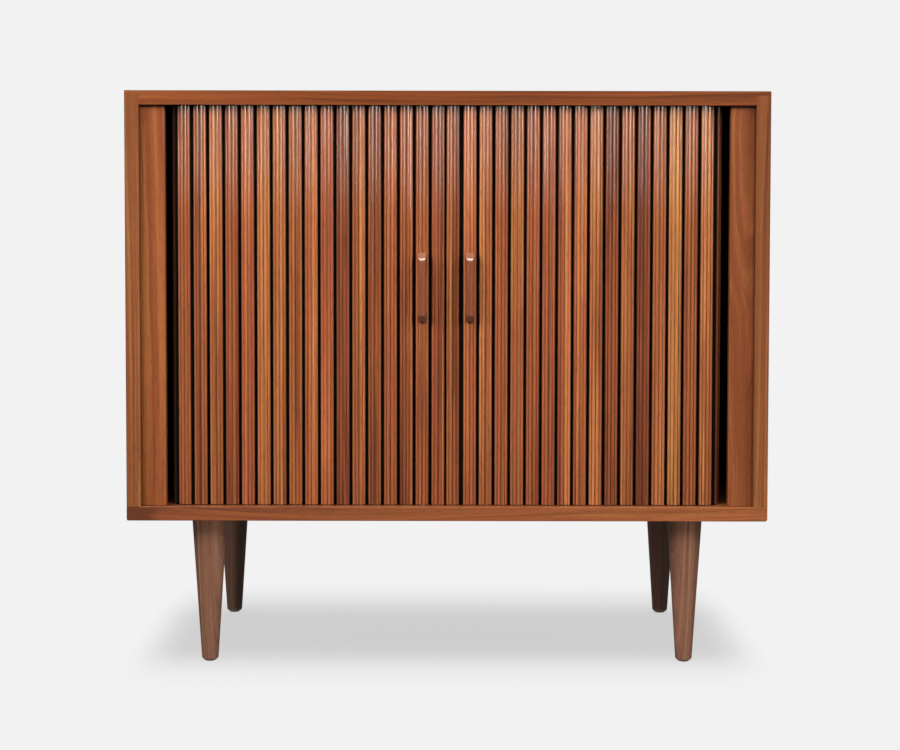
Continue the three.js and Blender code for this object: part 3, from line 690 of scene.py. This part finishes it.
def slat_mesh(name, rnd):
    hw = SLAT_W / 2
    right = [(x, -SLAT_FRONT + d_) for x, d_ in slat_face(rnd)]
    left = [(-x, -SLAT_FRONT + d_) for x, d_ in slat_face(rnd)[1:]][::-1]
    outline = left + right + [(hw, 0.2), (hw, SLAT_BACK - 0.3), (hw - 0.3, SLAT_BACK), (-hw + 0.3, SLAT_BACK), (-hw, SLAT_BACK - 0.3), (-hw, 0.2)]
    z0, z1 = INNER_LOW + SLAT_CLEAR + 0.4, INNER_HIGH - SLAT_CLEAR
    bm = bmesh.new()
    rows = [z0, z0 + 0.35] + [z0 + (z1 - z0) * k / 6 for k in range(1, 6)] + [z1 - 0.35, z1]
    rings = []
    for k, z in enumerate(rows):
        inset = 0.25 if k in (0, len(rows) - 1) else 0.0
        rings.append([bm.verts.new((x * (1 - inset / hw), y + (inset if y < -1 else 0), z)) for x, y in outline])
    n = len(outline)
    for a, b in zip(rings, rings[1:]):
        for i in range(n):
            bm.faces.new((a[i], a[(i + 1) % n], b[(i + 1) % n], b[i]))
    bm.faces.new(rings[0][::-1])
    bm.faces.new(rings[-1])
    for zz0, zz1 in ((INNER_LOW - GROOVE_DEPTH + TONGUE_FOOT, z0), (z1, INNER_HIGH - SLAT_CLEAR + TONGUE_UP)):
        w, t_ = TONGUE_W / 2, TONGUE_T / 2
        block(-w, -t_, zz0, w, t_, zz1, bm)
    # painted shade: shade marks the slat's sides and back, painted near black as the gaps' shadow; groove marks the
    # hollows between the beads, painted darker as shade
    shade, groove = bm.verts.layers.float.new("shade"), bm.verts.layers.float.new("groove")
    for v in bm.verts:
        deep = v.co.y + SLAT_FRONT
        v[shade] = min(1.0, max(0.0, (deep - 1.8) / 1.0)) if abs(v.co.x) > 7 or deep > 3 else 0.0
        v[groove] = min(1.0, max(0.0, (deep - 0.5) / 0.75)) if abs(v.co.x) < 6 else 0.0
    # faces wholly in the painted shade take the near black flank finish
    for f in bm.faces:
        f.material_index = 1 if all(v[shade] > 0.999 for v in f.verts) else 0
    return bm


def slat_place(door, i):
    u = door["lead"] - door["corner"] if i == 1 else door["past"] - (17 - i) * door["pitch"]
    p, q = on_path(door["corner"], u - TONGUE_W / 2), on_path(door["corner"], u + TONGUE_W / 2)
    return (door["side"] * (p[0] + q[0]) / 2, (p[1] + q[1]) / 2), door["side"] * math.atan2(q[1] - p[1], q[0] - p[0])


# from the photograph: which slats stand out from the rest
DARK = {"left": {17, 14, 7}, "right": {11, 13}}
DEEP = {"left": {3, 1}, "right": {6}}
GOLD = {"left": {15, 10, 11, 12}, "right": {17, 3, 14, 10, 12}}
YELLOW = {"left": set(), "right": {15}}
PINK = {"left": {8, 13}, "right": {4, 7}}

rnd, moulding = random.Random(77), random.Random(5)
# painted shade: a near black, matt finish for the slats' sides, which lie in the dark gaps
shaded_flank = wood("slat_flanks", axis="Z", seed=200, gain=0.03, rough=0.8, IOR=1.1, bump_strength=0.2)
for key, door in DOORS.items():
    for i in range(1, SLATS + 1):
        node = f"{key}_slat_{i:02d}"
        (x, y), turn = slat_place(door, i)
        ob = to_object(node + "_wood", slat_mesh(node, moulding), sharp=28, at=(x, y + Y_SHIFT, 0), turn=turn)
        shift, red, gain, low, half = rnd.uniform(-0.06, 0.06), rnd.uniform(-0.35, 0.2), rnd.uniform(1.28, 1.36), None, None
        # painted shade: the last slat, turned into the corner, is painted darker, the left one near black
        if i == SLATS:
            shift, red, gain = -0.1, 0.0, 0.28 if key == "left" else 0.7
        elif i in DARK[key]:
            shift, red, gain = -0.13, 0.1, 1.18
        elif i in DEEP[key]:
            shift, red = -0.08, 0.1
        elif i in YELLOW[key]:
            shift, red, gain = 0.32, -1.0, 1.38
        elif i in GOLD[key]:
            shift, red = 0.11 + rnd.uniform(-0.03, 0.05), -0.4
        elif i in PINK[key]:
            shift, red = -0.02, 0.1
        if (key, i) == ("right", 5):
            shift, red, low = 0.10, -0.4, (0.52, -0.12)
        if (key, i) == ("right", 8):
            half = (0.0005, 0.28)
        place(ob, node,
              [wood(f"slat_{key}_{i:02d}", axis="Z", seed=40 + i + (100 if key == "right" else 0), run=0.8,
                   heart=(rnd.uniform(-0.03, 0.03), rnd.uniform(0.03, 0.09)), spacing=rnd.uniform(0.0024, 0.0044), warp=rnd.uniform(0.002, 0.005),
                   bands=1.05, streaks=1.0, fibre=0.48, blotch=0.28, tint=(0.84, 0.94, 1.22), slope=(0.28, 0.52, 0.0), painted_top_shadow=(0.66, 0.76, -0.08), hue=0.5, shift=shift, red=red, gain=gain, low=low, half=half, rough=0.40, IOR=1.10,
                   coat=1.0, bump_strength=0.3), shaded_flank])

# canvas glued behind the slats of each body
RUNS = {"lead": (1, 2), "turn_slat": (3, 3), "front_run": (4, 10), "back_run": (11, 17), "tail": (18, 18)}
cloth = canvas_cloth("black_canvas")
for key, door in DOORS.items():
    for run, (first, last) in RUNS.items():
        line = []
        for i in range(first, last + 1):
            (x, y), turn = slat_place(door, i)
            c_, s_ = math.cos(turn), math.sin(turn)
            for e_ in (-1, 1):
                w = SLAT_W / 2
                if i == first and e_ < 0 and run in ("front_run", "back_run", "turn_slat"):
                    w += 1.6
                if i == last and e_ > 0 and run in ("lead", "front_run", "back_run"):
                    w += 1.2
                ex = door["side"] * e_ * w
                line.append((x + ex * c_ - (SLAT_BACK + 0.06) * s_, y + ex * s_ + (SLAT_BACK + 0.06) * c_,
                             -s_ * 0.5, c_ * 0.5))
        outline = [(p[0], p[1]) for p in line] + [(p[0] + p[2], p[1] + p[3]) for p in line[::-1]]
        z0, z1 = INNER_LOW + 3, INNER_HIGH - 3
        ob = to_object(f"{key}_{run}_canvas", prism(outline, "Z", z0, z1))
        ob.data.materials.append(cloth)
        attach(ob, f"{key}_{run}")

# ------------------------------------------------------------------ handles


def handle_mesh():
    front, back_y = SLAT_FACE_Y - HANDLE_OUT, SLAT_FACE_Y - 0.1
    w = HANDLE_W / 2
    section = [(w, back_y), (-w, back_y)]
    flat = front + 5.6
    for i in range(25):
        a = math.pi * i / 24
        section.append((-w * math.copysign(abs(math.cos(a)) ** 0.95, math.cos(a)), flat - 5.6 * math.sin(a) ** 0.95))
    side = [(back_y, HANDLE_LOW), (front + HANDLE_BEVEL_Y, HANDLE_LOW), (front, HANDLE_LOW + HANDLE_BEVEL_Z),
            (front, HANDLE_HIGH - HANDLE_BEVEL_Z), (front + HANDLE_BEVEL_Y - 2.2, HANDLE_HIGH), (back_y, HANDLE_HIGH),
            (back_y, HANDLE_HIGH - HANDLE_FOOT + 3), (front + HANDLE_BAR + 3, HANDLE_HIGH - HANDLE_FOOT),
            (front + HANDLE_BAR, HANDLE_HIGH - HANDLE_FOOT - 3), (front + HANDLE_BAR, HANDLE_LOW + HANDLE_FOOT + 3),
            (front + HANDLE_BAR + 3, HANDLE_LOW + HANDLE_FOOT), (back_y, HANDLE_LOW + HANDLE_FOOT - 3)]
    # the bevels run into the front in an easy round
    side = rounded(side, [0, 0.8, 4.5, 4.2, 0.8] + [0] * 7, 8)
    bar = to_object("bar", prism(section, "Z", HANDLE_LOW - 1, HANDLE_HIGH + 1), at=(0, 0, 0))
    cutter = to_object("bar_side", prism(side, "X", -w - 1, w + 1), at=(0, 0, 0))
    m = bar.modifiers.new("meet", "BOOLEAN")
    m.operation, m.object, m.solver = "INTERSECT", cutter, "EXACT"
    settle(bar)
    bpy.data.objects.remove(cutter)
    bm = bmesh.new()
    bm.from_mesh(bar.data)
    bpy.data.objects.remove(bar)
    bmesh.ops.scale(bm, vec=(1000, 1000, 1000), verts=bm.verts)
    bmesh.ops.remove_doubles(bm, verts=bm.verts, dist=0.01)
    bmesh.ops.dissolve_limit(bm, angle_limit=math.radians(0.5), verts=bm.verts, edges=bm.edges)
    bm.normal_update()
    sharp = [e_ for e_ in bm.edges if len(e_.link_faces) == 2 and e_.calc_face_angle(0) > math.radians(28)
             and not all(abs(v.co.y - back_y) < 0.02 for v in e_.verts)]
    ease(bm, sharp, 0.55, 3)
    return bm


for key, door in DOORS.items():
    ob = to_object(key + "_pull", handle_mesh(), sharp=45, at=(door["side"] * door["second"], Y_SHIFT, 0))
    weighted(ob)
    place(ob, key + "_handle",
          wood("pull_" + key, axis="Z", seed=31 if key == "left" else 33, heart=(0.02, 0.05), spacing=0.0036, warp=0.006, bands=0.7,
               shift=-0.04, red=0.35, gain=0.97, tint=(0.84, 1.03, 1.28), rough=0.30, IOR=1.42, coat=1.0, run=1.4))

# ------------------------------------------------------------------ stage, light and camera
floor_bm = bmesh.new()
bmesh.ops.create_grid(floor_bm, x_segments=8, y_segments=8, size=60000)
floor = to_object("floor", floor_bm, at=(0, 0, 0))
s = Shade("pale_floor")
where = s.node("ShaderNodeTexCoord").outputs["Object"]
wx, wy, _ = s.node("ShaderNodeSeparateXYZ", {0: where}).outputs
# the shadow stays in under the case: the floor round it is evenly lit
inside = s.math("MULTIPLY", s.span(s.math("ABSOLUTE", wx), 0.385, 0.488, 1.0, 0.0, True),
                s.math("MULTIPLY", s.span(wy, -0.36, -0.05, 0.0, 1.0, True), s.span(wy, 0.19, 0.42, 1.0, 0.0, True)))
blend = s.math("SUBTRACT", 1.0, inside)
matt = s.node("ShaderNodeBsdfDiffuse", {"Color": (0.1, 0.1, 0.1, 1)})
glow = s.node("ShaderNodeEmission", {"Color": (1, 1, 1, 1), "Strength": 0.60})
near_part = s.node("ShaderNodeAddShader")
s.tree.links.new(matt.outputs[0], near_part.inputs[0])
s.tree.links.new(glow.outputs[0], near_part.inputs[1])
plain = s.node("ShaderNodeEmission", {"Color": (1, 1, 1, 1), "Strength": 0.888})
mixed = s.node("ShaderNodeMixShader", {0: blend})
s.tree.links.new(near_part.outputs[0], mixed.inputs[1])
s.tree.links.new(plain.outputs[0], mixed.inputs[2])
end = s.node("ShaderNodeOutputMaterial")
s.tree.links.new(mixed.outputs[0], end.inputs[0])
floor.data.materials.append(s.mat)
floor.visible_glossy = floor.visible_diffuse = False

world = bpy.data.worlds.new("studio")
scene.world = world
world.use_nodes = True
wt = world.node_tree
wt.nodes.clear()
coord = wt.nodes.new("ShaderNodeTexCoord")
sep = wt.nodes.new("ShaderNodeSeparateXYZ")
wt.links.new(coord.outputs["Generated"], sep.inputs[0])
grad = wt.nodes.new("ShaderNodeValToRGB")
height_ = wt.nodes.new("ShaderNodeMath")
height_.operation, height_.inputs[1].default_value, height_.inputs[2].default_value = "MULTIPLY_ADD", 0.5, 0.5
wt.links.new(sep.outputs[2], height_.inputs[0])
r_ = grad.color_ramp
for at_, v_ in ((0.0, 0.5), (0.20, 0.42), (0.36, 0.07), (0.50, 0.07), (0.625, 0.35), (1.0, 1.0)):
    e_ = r_.elements[0] if at_ == 0.0 else r_.elements[-1] if at_ == 1.0 else r_.elements.new(at_)
    e_.color = (v_, v_, v_, 1)
wt.links.new(height_.outputs[0], grad.inputs[0])
soft = wt.nodes.new("ShaderNodeBackground")
soft.inputs[1].default_value = 0.9
wt.links.new(grad.outputs[0], soft.inputs[0])
seen = wt.nodes.new("ShaderNodeBackground")
seen.inputs[0].default_value, seen.inputs[1].default_value = (1, 1, 1, 1), 0.888
path = wt.nodes.new("ShaderNodeLightPath")
pick = wt.nodes.new("ShaderNodeMixShader")
wt.links.new(path.outputs["Is Camera Ray"], pick.inputs[0])
wt.links.new(soft.outputs[0], pick.inputs[1])
wt.links.new(seen.outputs[0], pick.inputs[2])
wo = wt.nodes.new("ShaderNodeOutputWorld")
wt.links.new(pick.outputs[0], wo.inputs[0])

not_floor = bpy.data.collections.new("lamps_miss_the_floor")
not_floor.objects.link(floor)
not_floor.collection_objects[0].light_linking.link_state = "EXCLUDE"


# the front lamps leave the back legs in the shade of the case
not_behind = bpy.data.collections.new("lamps_miss_the_floor_and_the_back_legs")
for ob in (floor, pieces["back_left_turned_leg"], pieces["back_right_turned_leg"]):
    not_behind.objects.link(ob)
for member in not_behind.collection_objects:
    member.light_linking.link_state = "EXCLUDE"


def lamp(name, at, target, size, power, color=(1, 1, 1)):
    data = bpy.data.lights.new(name, "AREA")
    data.shape, data.size, data.size_y, data.energy, data.color = "RECTANGLE", size[0], size[1], power, color
    ob = bpy.data.objects.new(name, data)
    scene.collection.objects.link(ob)
    ob.location = at
    ob.rotation_euler = (Vector(target) - Vector(at)).to_track_quat("-Z", "Y").to_euler()
    ob.light_linking.receiver_collection = not_floor
    ob.visible_camera = False
    return ob


# large soft boxes give the light, narrow strips and an overhead sheet give the gloss
for name, side, near, wide, gloss, turn_ in (("left", -1, 104, 96, 20, 37), ("right", 1, 88, 90, 17, 28)):
    t_, w_ = math.radians(turn_), math.radians(57)
    box = lamp("box_" + name, (side * 3.2 * math.sin(t_), -0.23 - 3.2 * math.cos(t_), 2.05), (0.0, -0.23, 0.5), (0.50, 1.0), near)
    broad = lamp("wide_" + name, (side * 3.0 * math.sin(w_), -0.23 - 3.0 * math.cos(w_), 1.95), (0.0, -0.23, 0.5), (0.85, 1.3), wide)
    for ob in (box, broad):
        ob.visible_glossy, ob.light_linking.receiver_collection = False, not_behind
    strip = lamp("strip_" + name, (side * 1.75, -1.35, 1.42), (side * 0.1, -0.2, 1.42), (0.22, 1.60), gloss, (1.0, 0.93, 0.84))
    strip.data.shape, strip.visible_diffuse = "ELLIPSE", False
lamp("top", (0.0, -1.0, 2.7), (0.0, -0.1, 0.7), (1.3, 1.3), 18).visible_glossy = False
overhead = lamp("overhead", (0.0, -1.0, 2.3), (0.0, -0.24, 0.6), (1.5, 1.3), 60, (1.0, 0.94, 0.86))
overhead.visible_diffuse = False
pulls = bpy.data.collections.new("overhead_gloss_on_the_pulls")
for key in DOORS:
    pulls.objects.link(pieces[key + "_pull"])
overhead.light_linking.receiver_collection = pulls

# two narrow lamps over the camera draw a line down the crest of every bead, brightest at the top
beads = bpy.data.collections.new("crest_gloss_on_the_slats")
for name_, ob in pieces.items():
    if "_slat_" in name_ and "right_slat_18" not in name_:
        beads.objects.link(ob)
for name, at, size, power in (("crest_low", (0.0, -3.3, 1.15), (0.42, 1.0), 50), ("crest_high", (0.0, -3.3, 1.10), (0.42, 0.46), 68)):
    crest = lamp(name, at, (0.0, -0.22, at[2]), size, power, (1.0, 0.94, 0.86))
    crest.visible_diffuse, crest.light_linking.receiver_collection = False, beads
    crest.data.shape = "ELLIPSE" if name == "crest_low" else "RECTANGLE"

# low lamps for the legs, which the case shades from the others
for name, at, size, power, keys in (("low_front", (0.0, -2.6, 0.22), (1.4, 0.4), 62, ("front_left", "front_right")),
                                    ("low_left", (-1.9, -0.9, 0.3), (0.4, 0.4), 23, ("back_left", "back_right"))):
    low_lamp = lamp(name, at, (0.0, 0.0, 0.12), size, power)
    legs_ = bpy.data.collections.new(name + "_legs")
    for key in keys:
        legs_.objects.link(pieces[key + "_turned_leg"])
    low_lamp.visible_glossy, low_lamp.light_linking.receiver_collection = False, legs_

over_floor = lamp("over_floor", (0.0, 0.03, 6.0), (0.0, 0.03, 0.0), (2.1, 6.0), 800)
only_floor = bpy.data.collections.new("this_lamp_lights_the_floor")
only_floor.objects.link(floor)
over_floor.light_linking.receiver_collection = only_floor

cam_data = bpy.data.cameras.new("camera")
cam = bpy.data.objects.new("camera", cam_data)
scene.collection.objects.link(cam)
cam_data.sensor_fit, cam_data.sensor_width = "HORIZONTAL", 36.0
cam_data.lens = 36.0 * 1987.3 / 900
cam_data.shift_x, cam_data.shift_y = -0.4 / 900, -94.6 / 900
cam_data.clip_start, cam_data.clip_end = 0.05, 300
cam.location = (0.0040, -3.0399, 0.7017)
cam.rotation_euler = (math.radians(90 - 2.884), math.radians(-0.10), 0.0)
scene.camera = cam
scene.view_settings.view_transform = "Standard"
scene.view_settings.look = "None"
